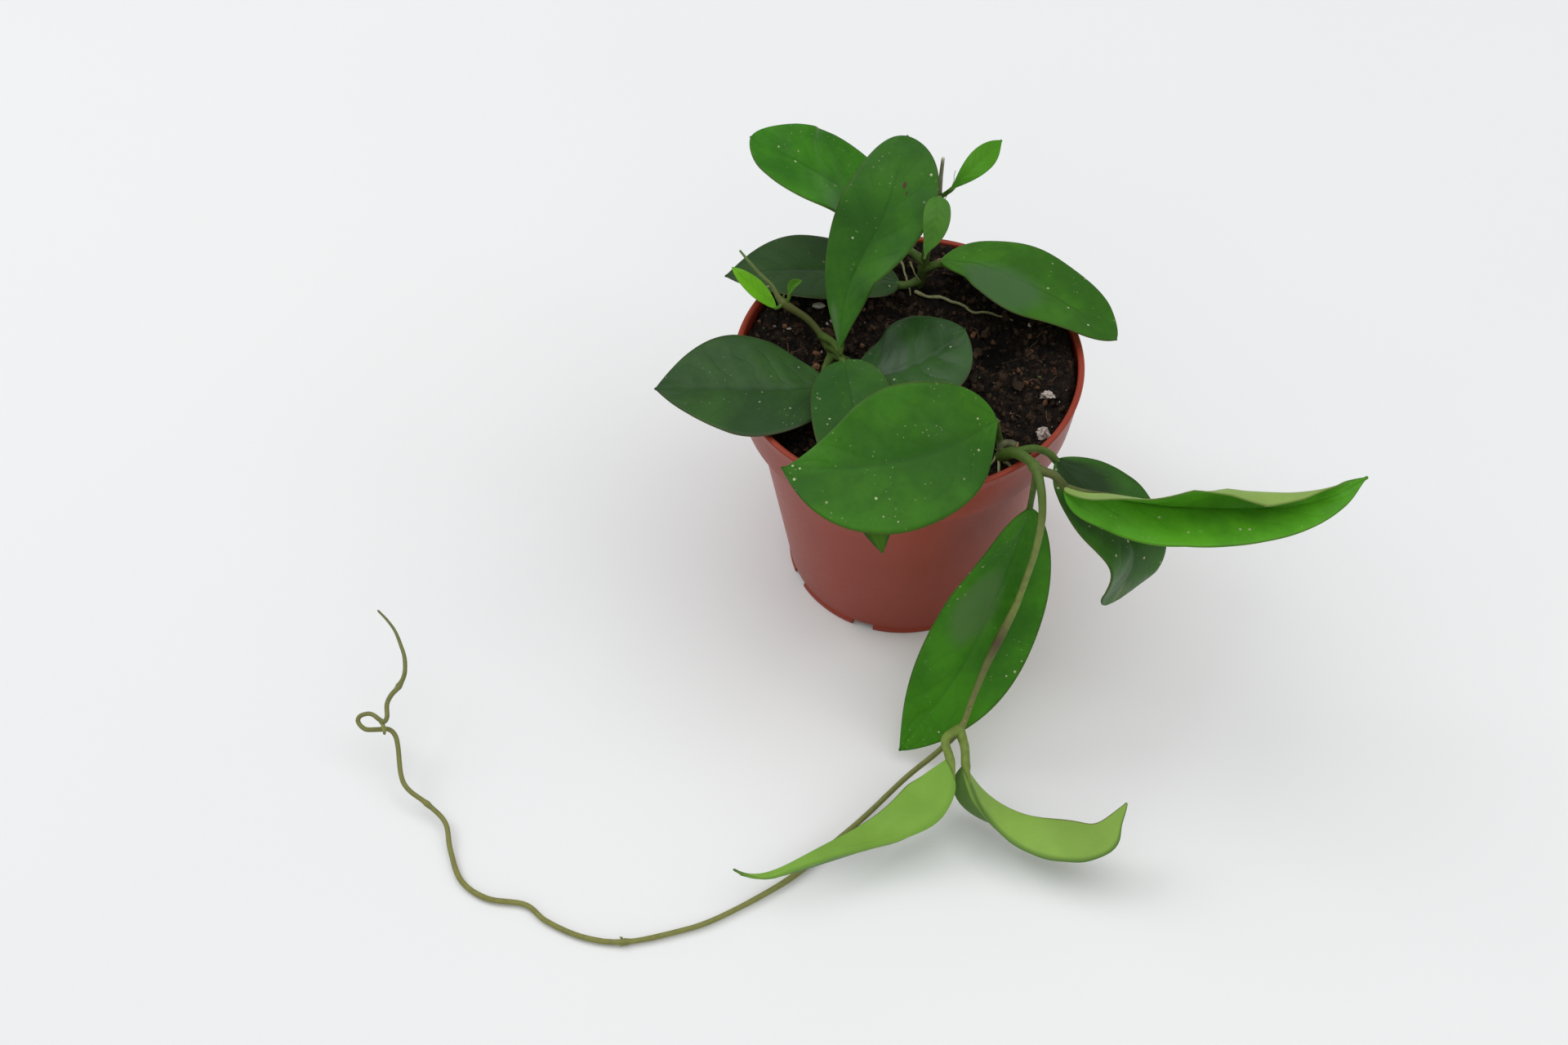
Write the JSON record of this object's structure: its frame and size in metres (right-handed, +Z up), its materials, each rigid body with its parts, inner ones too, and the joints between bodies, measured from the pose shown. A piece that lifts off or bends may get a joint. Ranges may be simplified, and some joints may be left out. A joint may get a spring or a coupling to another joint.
{
  "type": "potted hoya australis",
  "caption": "Young trailing wax plant in a plain tapered nursery pot, with rooted cuttings, glossy oval leaves and a long bare runner that lies on the surface.",
  "frame": {"origin": "centre of the pot's base, on the surface it stands on", "axes": "+Z up; -Y towards the side where the runner lies; +X to the right seen from that side"},
  "size_m": [0.2975, 0.2041, 0.1464],
  "materials": {
    "pot_plastic": "terracotta-red moulded plastic with a soft sheen",
    "soil": "dark, crumbly peat mix",
    "green_bark": "smooth olive-green stem, brown in places",
    "brown_bark": "dull brown stem",
    "root": "pale, dull root",
    "perlite": "white, chalky grain",
    "seed_case": "pale, translucent, dull",
    "pebble": "tan, dull",
    "bark_chip": "dark, rough",
    "leaf": "thick, waxy, deep green, with a soft sheen and a paler underside",
    "young_leaf": "bright green, waxy"
  },
  "bodies": {
    "root": {"pot": "pot_plastic", "soil": "soil", "stem_middle": "green_bark", "stem_back": "brown_bark", "stem_front": "green_bark", "root_on_soil": "root", "perlite_right": "perlite", "perlite_front": "perlite", "seed_case": "seed_case", "pebble": "pebble", "bark_chip": "bark_chip", "leaf_middle_tall": "leaf", "leaf_middle_left": "leaf", "leaf_middle_right": "leaf", "leaf_middle_front": "leaf", "leaf_middle_young": "young_leaf", "leaf_middle_bud": "young_leaf", "leaf_back_upper_left": "leaf", "leaf_back_right": "leaf", "leaf_back_low": "leaf", "leaf_back_young": "young_leaf", "leaf_back_small": "young_leaf", "leaf_front_big": "leaf", "leaf_front_long": "leaf", "leaf_front_folded": "leaf", "leaf_front_hanging": "leaf", "leaf_runner_left": "leaf", "leaf_runner_right": "leaf"}
  },
  "joints": []
}
